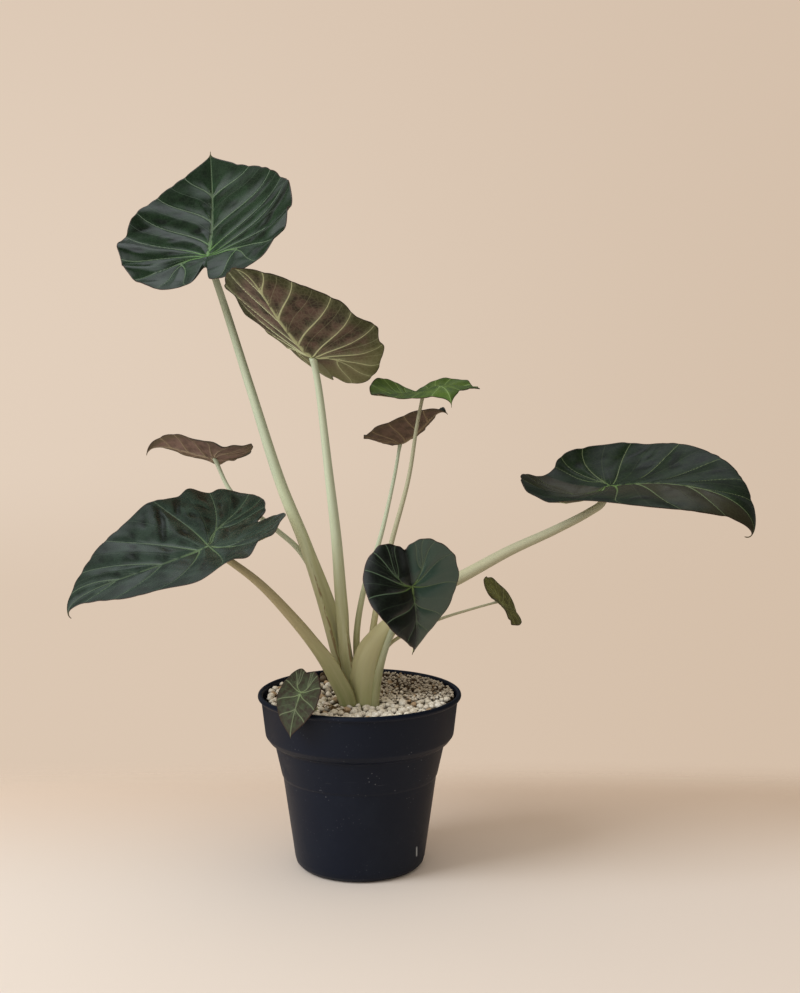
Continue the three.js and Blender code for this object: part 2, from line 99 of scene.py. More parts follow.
class Tree:
    """The nodes of one finish, or of the world."""

    def __init__(self, owner):
        owner.use_nodes = True
        self.nodes = owner.node_tree.nodes
        self.links = owner.node_tree.links
        self.nodes.clear()

    def feed(self, socket, value):
        """Links a wire, or sets a value. A colour of three numbers is given as it looks on a screen."""
        if isinstance(value, Wire):
            self.links.new(value.socket, socket)
        elif socket.type == "RGBA" and len(value) == 3:
            socket.default_value = paint(*value)
        else:
            socket.default_value = value

    def node(self, kind, settings, values, output=0):
        """Adds one node: its settings first, then the value or wire of each socket."""
        made = self.nodes.new(kind)
        for name, setting in settings.items():
            setattr(made, name, setting)
        for name, value in values.items():
            self.feed(made.inputs[name], value)
        return Wire(self, made.outputs[output])

    def place(self):
        return self.node("ShaderNodeTexCoord", {}, {}, "Object")

    def attribute(self, name, output="Fac"):
        return self.node("ShaderNodeAttribute", {"attribute_name": name}, {}, output)

    def scaled(self, vector, x, y, z):
        return self.node("ShaderNodeVectorMath", {"operation": "MULTIPLY"}, {0: vector, 1: (x, y, z)})

    def toward(self, vector, way):
        return self.node("ShaderNodeVectorMath", {"operation": "DOT_PRODUCT"}, {0: vector, 1: way}, "Value")

    def split(self, vector):
        return [self.node("ShaderNodeSeparateXYZ", {}, {0: vector}, axis) for axis in range(3)]

    def noise(self, vector, scale, detail=2.0, roughness=0.5):
        sockets = {"Vector": vector, "Scale": scale, "Detail": detail, "Roughness": roughness}
        return self.node("ShaderNodeTexNoise", {}, sockets)

    def cells(self, vector, scale, feature="F1"):
        return self.node("ShaderNodeTexVoronoi", {"feature": feature}, {"Vector": vector, "Scale": scale})

    def mix(self, share, first, second):
        """The first colour where the share is nought, and the second where it is one."""
        return self.node("ShaderNodeMix", {"data_type": "RGBA"}, {0: share, 6: first, 7: second}, 2)

    def coats(self, tone, *layers):
        """A tone under coats, one over the other. Each layer is the share that it covers, and its colour."""
        for share, colour in layers:
            tone = self.mix(share, tone, colour)
        return tone


class Finish(Tree):
    """One material. Numbers that are the same all over it are set on the shader's own sockets."""

    def __init__(self, name, **constants):
        self.material = bpy.data.materials.new(name)
        super().__init__(self.material)
        self.shader = self.nodes.new("ShaderNodeBsdfPrincipled")
        self.output = self.nodes.new("ShaderNodeOutputMaterial")
        self.links.new(self.shader.outputs[0], self.output.inputs[0])
        for socket, value in constants.items():
            self.shader.inputs[socket.replace("_", " ")].default_value = value

    def wear(self, colour, roughness, height=None):
        """Feeds the colour, the roughness, and the height of the fine relief in millimetres."""
        self.feed(self.shader.inputs["Base Color"], colour)
        self.feed(self.shader.inputs["Roughness"], roughness)
        if height is not None:
            bump = self.node("ShaderNodeBump", {}, {"Distance": 0.001, "Height": height})
            self.feed(self.shader.inputs["Normal"], bump)


def strip_faces(rows, columns):
    """Quads between the rows of a grid of points, whose last column is joined to its first."""
    row, column = np.meshgrid(np.arange(rows - 1), np.arange(columns), indexing="ij")
    start, after = row * columns + column, row * columns + (column + 1) % columns
    return np.stack([start, after, after + columns, start + columns], -1).reshape(-1, 4)


def fan_faces(centre, first, columns):
    """Triangles from a centre point to the ring of points that starts at the first."""
    side = np.arange(columns)
    return np.stack([centre + 0 * side, first + side, first + (side + 1) % columns], -1)


def around(radius, turn, height=0):
    """Points at a radius and a height, turned about the upright axis."""
    return np.stack(np.broadcast_arrays(radius * np.cos(turn), radius * np.sin(turn), height + 0 * turn), -1)


def make_piece(name, points, faces, finish, **attributes):
    """A smooth mesh from points in millimetres, at the origin, with its finish and what varies over it."""
    mesh = bpy.data.meshes.new(name)
    corners = [face for part in faces for face in part.tolist()]
    mesh.from_pydata((np.asarray(points) * 0.001).tolist(), [], corners)
    mesh.shade_smooth()
    for key, values in attributes.items():
        kind, field = ("FLOAT", "value") if values.ndim == 1 else ("FLOAT_VECTOR", "vector")
        mesh.attributes.new(key, kind, "POINT").data.foreach_set(field, values.astype(np.float32).ravel())
    mesh.materials.append(finish.material)
    piece = bpy.data.objects.new(name, mesh)
    bpy.context.collection.objects.link(piece)
    return piece


FLOOR_RADIUS = 4000
FLOOR_RINGS = 23
FLOOR_COLUMNS = 96


def sweep_floor():
    """A flat disc that faces up: rings that stand closer together in the middle, round a centre point."""
    turn = np.linspace(0, 2 * np.pi, FLOOR_COLUMNS, endpoint=False)
    radius = FLOOR_RADIUS * np.linspace(0, 1, FLOOR_RINGS + 1)[1:, None] ** 2
    points = np.vstack([[[0, 0, 0]], around(radius, turn).reshape(-1, 3)])
    return points, [fan_faces(0, 1, FLOOR_COLUMNS)[:, ::-1], 1 + strip_faces(FLOOR_RINGS, FLOOR_COLUMNS)]


paper = Finish("sweep")
across_floor, along_floor, _ = paper.split(paper.place())
# The floor is painted darker towards the back, and more so on the right, away from the lamp: painted shade of
# the lamp's falloff, meeting the backdrop's tone.
near_tone = paper.mix(across_floor.ramp(-0.45, 0.45), (219, 209, 199), (219, 208, 198))
painted_far_shade = paper.mix(across_floor.ramp(-0.45, 0.45), (212, 194, 177), (206, 186, 167))
tone = paper.mix(along_floor.ramp(-0.12, 0.26), near_tone, painted_far_shade)
paper.wear(tone, 0.9)
away = (across_floor * 0.3).math("POWER", 2) + (along_floor + 0.15).math("POWER", 2)
clear = paper.node("ShaderNodeBsdfTransparent", {}, {})
covers = {0: away.math("SQRT").ramp(0.36, 0.5), 1: Wire(paper, paper.shader.outputs[0]), 2: clear}
paper.feed(paper.output.inputs[0], paper.node("ShaderNodeMixShader", {}, covers))
floor = make_piece("floor", *sweep_floor(), paper)

# The bright parts of the room as the leaves mirror them: the way to each from the plant, how nearly a ray
# points that way where the patch starts and where it is full, and its light.

BRIGHT_PATCHES = [
    ((-0.6, -0.69, 0.4), 0.6, 0.88, (1.5, 1.53, 1.575, 1)),
    ((-0.35, 0.82, 0.45), 0.8, 0.97, (0.3, 0.306, 0.315, 1)),
    ((0.25, 0.88, 0.4), 0.72, 0.93, (0.08, 0.0816, 0.084, 1)),
    ((0.02, 0.5, 0.86), 0.86, 0.98, (0.8, 0.84, 0.88, 1)),
    ((0.82, -0.48, -0.3), 0.93, 0.99, (0.5, 0.525, 0.55, 1)),
]

world = bpy.data.worlds.new("studio")
bpy.context.scene.world = world
room = Tree(world)
toward_right, toward_back, toward_top = room.split(room.place())
# The backdrop seen behind the plant is painted darker to the right, away from the lamp, and towards the top
# and below the horizon: a painted falloff of the lamp's light.
backdrop = room.mix(toward_right.ramp(-0.3, 0.34), (227, 208, 189), (212, 191, 170))
backdrop = room.mix(toward_top.ramp(-0.05, 0.25), backdrop, room.mix(0.5, backdrop, (213, 192, 172)))
backdrop = room.mix(toward_top.ramp(-0.1, -0.19) * 0.5, backdrop, (212, 190, 168))
overhead = toward_top.ramp(-0.1, 0.95)
behind = toward_back.ramp(-0.2, 0.6)
in_front = room.toward(room.place(), (-0.62, -0.74, 0.26)).ramp(0.15, 1.0)
glow = room.mix(overhead, (0.22, 0.2, 0.17, 1), (0.9, 0.82, 0.72, 1))
glow = room.mix(in_front, glow, (0.9, 0.83, 0.74, 1))
glow = room.mix(behind * 0.75, glow, (0.7, 0.58, 0.47, 1))
shine = room.mix(behind * 0.4, (0.05, 0.048, 0.045, 1), (0.26, 0.23, 0.2, 1))
for way, low, high, light in BRIGHT_PATCHES:
    shine = room.mix(room.toward(room.place(), way).ramp(low, high), shine, light)
mirrored = room.node("ShaderNodeLightPath", {}, {}, "Is Glossy Ray")
glow = room.mix(mirrored, glow, shine)
seen = room.node("ShaderNodeLightPath", {}, {}, "Is Camera Ray")
sky = room.node("ShaderNodeBackground", {}, {0: room.mix(seen, glow, backdrop), 1: 1.0})
room.feed(room.nodes.new("ShaderNodeOutputWorld").inputs[0], sky)

KEY_PLACE = (-2.1, -1.05, 2.0)
key = bpy.data.objects.new("key", bpy.data.lights.new("key", "AREA"))
key.data.energy = 64
key.data.color = (0.94, 1.0, 1.07)
key.visible_glossy = False
key.data.size = 1.5
key.location = KEY_PLACE
key.rotation_euler = (Vector((0, 0, 0.3)) - key.location).to_track_quat("-Z", "Y").to_euler()
bpy.context.collection.objects.link(key)

# Nursery pot. One thin wall of black polypropylene, injection moulded, with a rolled lip, a stiffening
# band below it, a shallow step in the tapered body, and a ring of drain holes through the base.

POT_OUTSIDE = [
    (0, 0), (52.5, 0), (57, 1.2), (60.2, 4.4), (61.5, 9), (72.3, 87), (73.4, 88.8), (79.9, 118.4),
    (84.6, 121.5), (88.3, 126.6), (88.8, 130), (92.3, 160.8), (94.6, 161.2), (95.5, 162.9), (95.2, 164.8),
    (94, 166), (92.6, 166),
]
POT_INSIDE = [
    (91.6, 165.4), (90.9, 163.5), (90.7, 160), (87.1, 131), (86.1, 127), (83, 123), (78.4, 118), (71.6, 88),
    (60, 9.4), (59, 6), (56.5, 3.4), (52.5, 2.4), (0, 2.4),
]
POT_COLUMNS = 160
POT_EASING = 0.9
DRAIN_COUNT = 8
DRAIN_RING = 40
DRAIN_RADIUS = 5


def eased(profile, reach):
    """Rounds each corner of a profile: a parabola leaves one run and meets the next at the reach from the
    corner, or nearly halfway along a short run. A long run keeps one more point close to its corner."""
    profile = np.array(profile, float)
    share = np.linspace(0, 1, 5)[:, None]
    line = [profile[0]]
    for before, corner, after in zip(profile[:-2], profile[1:-1], profile[2:]):
        ends, further = [], []
        for run in (before - corner, after - corner):
            length = np.linalg.norm(run)
            ends.append(corner + run * min(0.45, reach / length))
            further.append([corner + run * 2 * reach / length] if length > 5 * reach else [])
        bend = ends[0] * (1 - share) ** 2 + 2 * corner * share * (1 - share) + ends[1] * share**2
        line += [*further[0], *bend, *further[1]]
    return np.array([*line, profile[-1]])


def turned(profile, columns):
    """A closed body turned about the upright axis. The profile starts and ends on the axis."""
    turn = np.linspace(0, 2 * np.pi, columns, endpoint=False)
    rings = around(profile[1:-1, 0, None], turn, profile[1:-1, 1, None]).reshape(-1, 3)
    first, last = [0, 0, profile[0, 1]], [0, 0, profile[-1, 1]]
    foot = fan_faces(len(rings), 0, columns)[:, [0, 2, 1]]
    head = fan_faces(len(rings) + 1, len(rings) - columns, columns)
    return np.vstack([rings, [first], [last]]), [strip_faces(len(profile) - 2, columns), foot, head]


plastic = Finish("pot_plastic", Specular_IOR_Level=0.17)
spot = plastic.place()
east, north, height = plastic.split(spot)
grain = plastic.noise(spot, 900, 3, 0.6)
cloud = plastic.noise(spot, 22, 4, 0.6)
belt = height.ramp(0.06, 0.095) * height.ramp(0.14, 0.122)
dust = plastic.cells(spot, 290).ramp(0.22, 0.1) * plastic.noise(spot, 60, 2).ramp(0.5, 0.68)
dust = dust * (0.25 + belt * 0.75)
scuff = plastic.noise(plastic.scaled(spot, 34, 34, 900), 1, 3, 0.7).ramp(0.62, 0.75)
scuff = scuff * plastic.noise(spot, 40, 2).ramp(0.52, 0.66) * belt
nick = (abs(east - 0.0534) * 1100).ramp(1.0, 0.2) * (abs(height - 0.022) * 165).ramp(1.0, 0.6)
nick = nick * north.ramp(0, -0.02)
film = cloud.ramp(0.45, 0.75) * height.ramp(0.17, 0.1)
worn = plastic.coats((13, 20, 34), (film * 0.4, (30, 36, 46)),
                     (dust * 0.6 + scuff * 0.35, (112, 114, 118)), (nick * 0.8, (170, 175, 180)))
rough = 0.46 + film * 0.16 + dust * 0.2 + (grain - 0.5) * 0.12
plastic.wear(worn, rough, grain * 0.02 + scuff * 0.03 + cloud * 0.25)
pot = make_piece("nursery_pot", *turned(eased(POT_OUTSIDE + POT_INSIDE, POT_EASING), POT_COLUMNS), plastic)

bore = np.array([(0, -4), (DRAIN_RADIUS, -4), (DRAIN_RADIUS, 8), (0, 8)], float)
bore_points, bore_faces = turned(bore, 24)
bore_turn = np.arange(DRAIN_COUNT) * 2 * np.pi / DRAIN_COUNT
bore_place = around(DRAIN_RING, bore_turn)
drill_faces = [part + len(bore_points) * number for number in range(DRAIN_COUNT) for part in bore_faces]
drill = make_piece("drill", (bore_points + bore_place[:, None]).reshape(-1, 3), drill_faces, plastic)
cut = pot.modifiers.new("drain_holes", "BOOLEAN")
cut.object = drill
cut.operation = "DIFFERENCE"
cut.solver = "EXACT"
bored = bpy.data.meshes.new_from_object(pot.evaluated_get(bpy.context.evaluated_depsgraph_get()))
pot.modifiers.clear()
pot.data = bored
bored.shade_smooth()
bpy.data.objects.remove(drill)
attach(pot, "root")
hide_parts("pot")

# Potting mix and corm. The mix is peat and fine bark pressed into the pot. The corm is the plant's short
# brown stem, buried in the mix, with the petioles growing from its top. Both keep their solids.

peat = Finish("peat")
crumb = peat.place()
lump = peat.cells(crumb, 240)
fleck = peat.noise(crumb, 500, 3, 0.6)
lump_tone = lump.ramp(0.12, 0.0) * peat.noise(crumb, 70, 1).ramp(0.55, 0.7)
earth = peat.coats((38, 29, 21), (fleck.ramp(0.35, 0.65), (72, 55, 40)), (lump_tone, (128, 104, 78)))
peat.wear(earth, 0.85 + fleck * 0.1, lump * 1.6 + fleck * 0.7)

bark = Finish("corm_bark")
stem = bark.place()
ring = bark.noise(bark.scaled(stem, 30, 30, 420), 1, 3, 0.6)
husk = bark.mix(ring.ramp(0.4, 0.6), (86, 63, 42), (136, 108, 76))
bark.wear(husk, 0.75 + ring * 0.15, ring * 0.9 + bark.noise(stem, 300, 2) * 0.3)

for node, finish in (("potting_mix", peat), ("corm", bark)):
    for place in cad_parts[node].material_slots:
        place.material = finish.material

# Petioles. Each leaf stands on its own fleshy stalk. The lower part is a sheath, which opens on its inner
# side and wraps the next one with a thin wing that dries brown at its edge. The upper part is round.


class Leaf:
    """A leaf's petiole, and the way that its blade faces. The back is the turn from +X to +Y of the closed
    side of the sheath. The heading turns the midrib likewise, the rise lifts it, and the roll tilts the
    blade about it. The sheath is a share of the length, and its wing and hollow are shares of the radius."""

    sheath, spread, wing, hollow = 0.3, 0.15, 0.2, 0.3
    sides, rings = 32, 90
    stalk = "pale"

    def __init__(self, **given):
        self.__dict__.update(given)


LEAVES = {
    "low_left": Leaf(
        route=[(-8, -7, 125), (-11, -9, 158), (-21, -12, 181), (-33, -15, 203), (-65, -24, 246),
               (-94, -32, 278), (-135, -40, 310)],
        heading=200, rise=-18, roll=-4, back=215, foot=9, neck=3, sheath=0.5, spread=0.35, wing=0.25,
        hollow=0.5, sides=72, rings=120, stalk="olive"),
    "right": Leaf(
        route=[(6, -4, 125), (6, -5, 158), (7, -6, 181), (11, -6, 201), (30, -5, 231), (66, -5, 262),
               (93, -5, 275), (140, -6, 301), (180, -8, 320), (212, -9, 337), (224, -9, 346), (227, -5, 360)],
        heading=-40, rise=14, roll=13, back=290, foot=9.6, neck=3.4, sheath=0.36, spread=0.6, wing=0.35,
        hollow=0.5, sides=72, rings=130, stalk="shaded"),
    "low_front": Leaf(
        route=[(13, -10, 125), (15, -9, 165), (20, -11, 194), (29, -18, 224), (40, -42, 252), (48, -70, 279)],
        heading=12, rise=-76, roll=53, back=320, foot=4.4, neck=2, sheath=0.5, spread=0.2, sides=40,
        rings=80),
    "high_middle": Leaf(
        route=[(-4, 4, 125), (-7, 4, 165), (-13, 3, 205), (-17, 1, 253), (-21, -2, 310), (-28, -5, 376),
               (-36, -8, 449), (-41, -10, 479)],
        heading=239, rise=29, roll=-15, back=180, foot=8, neck=3, sheath=0.34, spread=0.5, wing=0.4,
        hollow=0.4, sides=64, rings=130),
    "high_left": Leaf(
        route=[(-8, 11, 125), (-10, 10, 165), (-16, 10, 189), (-32, 14, 247), (-51, 20, 302), (-74, 26, 359),
               (-102, 34, 447), (-127, 41, 527), (-142, 45, 571)],
        heading=90, rise=27, roll=-13, back=150, foot=8.5, neck=3.2, sheath=0.42, spread=0.3, wing=0.3,
        hollow=0.4, sides=64, rings=140),
    "small_right": Leaf(
        route=[(13, 3, 125), (13, 3, 165), (17, 2, 191), (26, 3, 208), (36, 5, 216), (75, 14, 232),
               (105, 22, 240), (132, 30, 246)],
        heading=50, rise=-22, roll=38, back=0, foot=2.6, neck=1.1, spread=0.1, hollow=0.2, sides=24,
        rings=80, stalk="shaded"),
    "small_middle_front": Leaf(
        route=[(6, 9, 125), (6, 9, 165), (12, 8, 220), (19, 12, 260), (30, 18, 305), (46, 30, 364),
               (54, 37, 414), (60, 40, 444)],
        heading=284, rise=17, roll=6, back=90, foot=4, neck=1.6, stalk="shaded"),
    "small_middle_back": Leaf(
        route=[(1, 13, 125), (0, 12, 165), (-3, 12, 217), (6, 24, 268), (18, 38, 302), (32, 78, 358),
               (38, 100, 390)],
        heading=309, rise=21, roll=-1, back=90, foot=4, neck=1.6),
    "small_left": Leaf(
        route=[(-12, 16, 125), (-14, 16, 165), (-23, 17, 212), (-39, 22, 264), (-57, 28, 295), (-80, 38, 314),
               (-123, 54, 347), (-140, 60, 380)],
        heading=179, rise=14, roll=23, back=150, foot=4.4, neck=1.9),
    "over_rim": Leaf(
        route=[(-38, -40, 129), (-39, -45, 160), (-43, -60, 176), (-50, -80, 185)],
        heading=226, rise=-60, roll=-3, back=45, foot=2.6, neck=1.4, spread=0.1, hollow=0.2, sides=24,
        rings=40),
}
FLARE_LENGTH = 13
WING_PLACE = 118
WING_REACH = 20
HOLLOW_REACH = 42
MARGIN_REACH = 7
BLADE_CLEARANCE = 0.35


def smooth_rise(value, low, high):
    """Nought below low, one above high, and a smooth rise between."""
    share = np.clip((value - low) / (high - low), 0, 1)
    return share * share * (3 - 2 * share)


def bell(distance, reach):
    """One where the distance is nought, sinking to about a third at the reach and to nothing beyond."""
    return np.exp(-((distance / reach) ** 2))


def unit(vectors):
    """The same directions, each of length one."""
    return vectors / np.linalg.norm(vectors, axis=-1, keepdims=True)


def way_gone(line):
    """How far along the line each of its points is."""
    return np.concatenate([[0], np.cumsum(np.linalg.norm(np.diff(line, axis=0), axis=1))])


def even_path(route, count):
    """Points at even distances on a smooth curve through the route, and the curve's directions there.
    Each stretch is a cubic whose end slopes come from the neighbours, weighed by the square roots of the
    distances between them."""
    route = np.array(route, float)
    knots = np.vstack([2 * route[0] - route[1], route, 2 * route[-1] - route[-2]])
    gap = np.sqrt(np.linalg.norm(np.diff(knots, axis=0), axis=1))[:, None]
    before, start, end, after = knots[:-3], knots[1:-2], knots[2:-1], knots[3:]
    lead, span, trail = gap[:-2], gap[1:-1], gap[2:]
    leave = span * ((start - before) / lead - (end - before) / (lead + span) + (end - start) / span)
    arrive = span * ((end - start) / span - (after - start) / (span + trail) + (after - end) / trail)
    share = (np.arange(60) / 60)[None, :, None]
    start, end, leave, arrive = (part[:, None] for part in (start, end, leave, arrive))
    cubic = (start + leave * share + (3 * (end - start) - 2 * leave - arrive) * share**2
             + (2 * (start - end) + leave + arrive) * share**3)
    fine = np.vstack([cubic.reshape(-1, 3), route[-1:]])
    gone = way_gone(fine)
    even = np.linspace(0, gone[-1], count)
    path = np.stack([np.interp(even, gone, fine[:, axis]) for axis in range(3)], -1)
    return path, unit(np.gradient(path, axis=0)), even


def leaf_axes(leaf):
    """The blade's own directions: along the midrib, to its left, and out of its upper side."""
    heading, rise, roll = np.radians([leaf.heading, leaf.rise, leaf.roll])
    along = np.array([np.cos(rise) * np.cos(heading), np.cos(rise) * np.sin(heading), np.sin(rise)])
    level = np.array([-np.sin(heading), np.cos(heading), 0])
    left = level * np.cos(roll) + np.cross(along, level) * np.sin(roll)
    return along, left, np.cross(along, left)


def petiole_surface(leaf):
    """Rings along the route. A ring's reach is the stalk's radius, which narrows from foot to neck. Where
    the sheath is open it loses a hollow on the inner side and gains a wing at each margin, and the ring
    is broader across. The last stretch flares, and is pressed flat under the blade."""
    path, tangent, gone = even_path(leaf.route, leaf.rings + 1)
    back = np.radians(leaf.back)
    outward = np.array([np.cos(back), np.sin(back), 0])
    depth = unit(outward - tangent * (tangent @ outward)[:, None])
    width = np.cross(tangent, depth)
    share = (gone / gone[-1])[:, None]
    radius = leaf.neck + (leaf.foot - leaf.neck) * (1 - share) ** 1.3
    radius = radius * (1 + 0.3 * smooth_rise(gone, gone[-1] - FLARE_LENGTH, gone[-1])[:, None] ** 2)
    opening = smooth_rise(share, leaf.sheath * 0.15, leaf.sheath * 0.45)
    opening = opening * (1 - smooth_rise(share, leaf.sheath * 0.6, leaf.sheath))
    angle = np.linspace(0, 2 * np.pi, leaf.sides, endpoint=False)[None]
    turn = np.degrees(np.minimum(angle, 2 * np.pi - angle))
    dent = leaf.hollow * bell(180 - turn, HOLLOW_REACH)
    flare = leaf.wing * bell(turn - WING_PLACE, WING_REACH)
    reach = radius * (1 + opening * (flare - dent))
    out, side = reach * np.cos(angle), reach * np.sin(angle) * (1 + leaf.spread * opening)
    points = path[:, None] + depth[:, None] * out[..., None] + width[:, None] * side[..., None]
    above, end = leaf_axes(leaf)[2], np.array(leaf.route[-1])
    over = (points - end) @ above + BLADE_CLEARANCE
    near = np.linalg.norm(points - end, axis=-1) < 4 * leaf.neck
    points = points - above * (np.maximum(over, 0) * near)[..., None]
    margin = opening * bell(turn - WING_PLACE, MARGIN_REACH)
    strand = np.stack([out, side, gone[:, None] + 0 * out], -1)
    return points, margin, strand, share + 0 * out


def petiole_finish(name, low, middle, high, tinge):
    """A waxy stalk: long faint streaks, paler upwards and olive below, with small lenticel flecks."""
    skin = Finish(name, Specular_IOR_Level=0.4)
    strand, share = skin.attribute("strand", "Vector"), skin.attribute("share")
    height = skin.split(skin.place())[2]
    streak = skin.noise(skin.scaled(strand, 0.42, 0.42, 0.015), 1, 2, 0.5)
    blotch = skin.noise(skin.scaled(strand, 0.25, 0.25, 0.03), 1, 2, 0.5)
    dry = skin.noise(skin.scaled(strand, 0.3, 0.3, 0.06), 1, 3, 0.7).ramp(0.36, 0.55)
    dry = (skin.attribute("margin") * dry).ramp(0.15, 0.6)
    fleck = skin.cells(skin.scaled(strand, 0.3, 0.3, 0.12), 1).ramp(0.3, 0.1)
    tone = skin.coats(low, ((height + blotch * 0.03).ramp(0.155, 0.225), middle),
                      ((share + blotch * 0.2).ramp(0.35, 0.75), high), (streak.ramp(0.35, 0.7) * 0.25, tinge),
                      (dry * 0.75, (122, 92, 58)), (fleck * 0.05, (214, 212, 186)))
    skin.wear(tone, 0.42 + streak * 0.12)
    return skin


def with_ends(values):
    """The values of all the rings' points, then those of the two end points."""
    return np.concatenate([values.reshape(-1, *values.shape[2:]), values[[0, -1], 0]])


# The shaded tones are a copy of the stalk's for the petioles that stand under the leaves, with the upper
# tones painted darker: painted shade.
STALK_TONES = {
    "pale": ((146, 150, 100), (178, 178, 134), (185, 194, 166), (208, 206, 180)),
    "olive": ((140, 146, 96), (178, 176, 130), (172, 160, 122), (196, 186, 150)),
    "shaded": ((160, 164, 114), (202, 197, 152), (174, 172, 143), (190, 184, 152)),
}
stalk_finishes = {kind: petiole_finish("petiole_" + kind, *tones)
                  for kind, tones in STALK_TONES.items()}
stalk_points = {}
for name, leaf in LEAVES.items():
    points, margin, strand, share = petiole_surface(leaf)
    rings, sides = margin.shape
    count = rings * sides
    ends = [fan_faces(count, 0, sides)[:, [0, 2, 1]], fan_faces(count + 1, count - sides, sides)]
    cover = np.vstack([points.reshape(-1, 3), points[0].mean(0), points[-1].mean(0)])
    stalk = make_piece("stalk_" + name, cover, [strip_faces(rings, sides), *ends], stalk_finishes[leaf.stalk],
                       margin=with_ends(margin), share=with_ends(share), strand=with_ends(strand))
    stalk_points[name] = points
    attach(stalk, "root")
    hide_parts("petiole_" + name)

# Pumice dressing. Rounded, porous volcanic grains, poured over the mix to just under the lip. They are
# coarse and cream in front, and finer and mixed with bark crumbs behind on the right. There the grains
# are painted darker as well, a painted shade under the leaves. The lower side of every grain is painted
# dark too: painted shade in the gaps between the grains.

BED_CENTRE = 153.5
BED_DISH = 6
BED_REACH = 81
MIX_TOP = 147
DRESSING_RADIUS = 89.4
GRAINS_TOP = 5.6
MOST_GRAINS = 2600
FINE_SHARE = 0.45
TRIES = 14
PATIENCE = 90
draw = np.random.default_rng(29)


def bed_level(radius):
    """The height of the dished bed at a distance from the pot's axis."""
    return BED_CENTRE + BED_DISH * (radius / BED_REACH) ** 2


def nearest(tries, places):
    """The distance from each try to the nearest of the places."""
    return np.sqrt(((tries[:, None] - places) ** 2).sum(-1).min(1))


def settle_grains():
    """Grains fall one at a time. Each picks the lowest of its tries, where it rests on the mix or on the
    grains before it, and the pour stops when they stand level with the dished bed. Grains stay out of the
    petioles, and few coarse ones fall on the fine patch behind."""
    skins = np.vstack([points.reshape(-1, 3) for points in stalk_points.values()])
    skins = skins[(skins[:, 2] > 146) & (skins[:, 2] < 168), :2]
    cores = np.vstack([even_path(leaf.route, 200)[0] for leaf in LEAVES.values()])
    cores = cores[(cores[:, 2] > 146) & (cores[:, 2] < 166), :2]
    rests = np.zeros((MOST_GRAINS, 4))
    count, refused = 0, 0
    while count < MOST_GRAINS and refused < PATIENCE:
        fine = draw.random() < FINE_SHARE
        size = draw.uniform(1.3, 2.4) if fine else 2.8 + 2.3 * draw.random()
        angle = draw.uniform(-0.15, 1.75, TRIES) if fine else draw.uniform(0, 2 * np.pi, TRIES)
        radius = (DRESSING_RADIUS - 0.6 - size) * np.sqrt(draw.random(TRIES))
        tries = around(radius, angle)[:, :2]
        barred = (tries[:, 0] > 4) & (tries[:, 1] > 14) & (not fine) & (draw.random(TRIES) < 0.8)
        barred |= (nearest(tries, skins) < size * 0.8) | (nearest(tries, cores) < 3 + size * 0.5)
        placed = rests[:count]
        apart = ((tries[:, None] - placed[None, :, :2]) ** 2).sum(-1)
        touch = (0.96 * (size + placed[:, 3])) ** 2
        lean = np.where(apart < touch, placed[:, 2] + 0.85 * np.sqrt(np.maximum(touch - apart, 0)), 0)
        rest = np.maximum(lean.max(1, initial=0), MIX_TOP + 0.7 + size * 0.7)
        over = rest - bed_level(radius) + barred * 100
        best = over.argmin()
        if over[best] + size > GRAINS_TOP:
            refused += 1
            continue
        rests[count] = [*tries[best], rest[best], size]
        count, refused = count + 1, 0
    return rests[:count]


def pebble():
    """A cube of two by two squares a side, blown out to a ball: 26 points and 24 faces."""
    step = np.array([-1.0, 0.0, 1.0])
    grid = np.stack(np.meshgrid(step, step, step, indexing="ij"), -1).reshape(-1, 3)
    number = {tuple(point): place for place, point in enumerate(grid[np.abs(grid).max(1) == 1])}
    squares = []
    for axis in range(3):
        for end in (-1.0, 1.0):
            for a in (-1.0, 0.0):
                for b in (-1.0, 0.0):
                    corners = [(a, b), (a + 1, b), (a + 1, b + 1), (a, b + 1)][:: int(end)]
                    squares.append([number[tuple(np.roll([end, p, q], axis))] for p, q in corners])
    ball = np.array(list(number), float)
    return unit(ball), np.array(squares)


def grain_cloud(rests):
    """Every grain is the pebble, swelled by three slow waves, squashed, turned and moved to its rest."""
    ball, squares = pebble()
    count = len(rests)
    waves = draw.normal(size=(count, 3, 3))
    phase = draw.uniform(0, 6.3, (count, 3, 1))
    swell = 1 + 0.1 * np.sin(2.2 * np.einsum("gwk,pk->gwp", waves, ball) + phase).sum(1)
    shape = ball * (rests[:, 3, None, None] * draw.uniform(0.85, 1.12, (count, 1, 3)))
    shape = shape * swell[..., None]
    turn = np.linalg.qr(draw.normal(size=(count, 3, 3)))[0]
    turn[:, :, 0] *= np.sign(np.linalg.det(turn))[:, None]
    points = np.einsum("gij,gpj->gpi", turn, shape) + rests[:, None, :3]
    faces = squares[None] + len(ball) * np.arange(count)[:, None, None]
    return points, faces.reshape(-1, 4)


rests = settle_grains()
points, faces = grain_cloud(rests)
kind = draw.random(len(rests))
# Painted shade: how far below its middle each point of a grain lies, to paint the lower side dark.
tuck = (rests[:, 2, None] - points[..., 2]) / rests[:, 3, None]
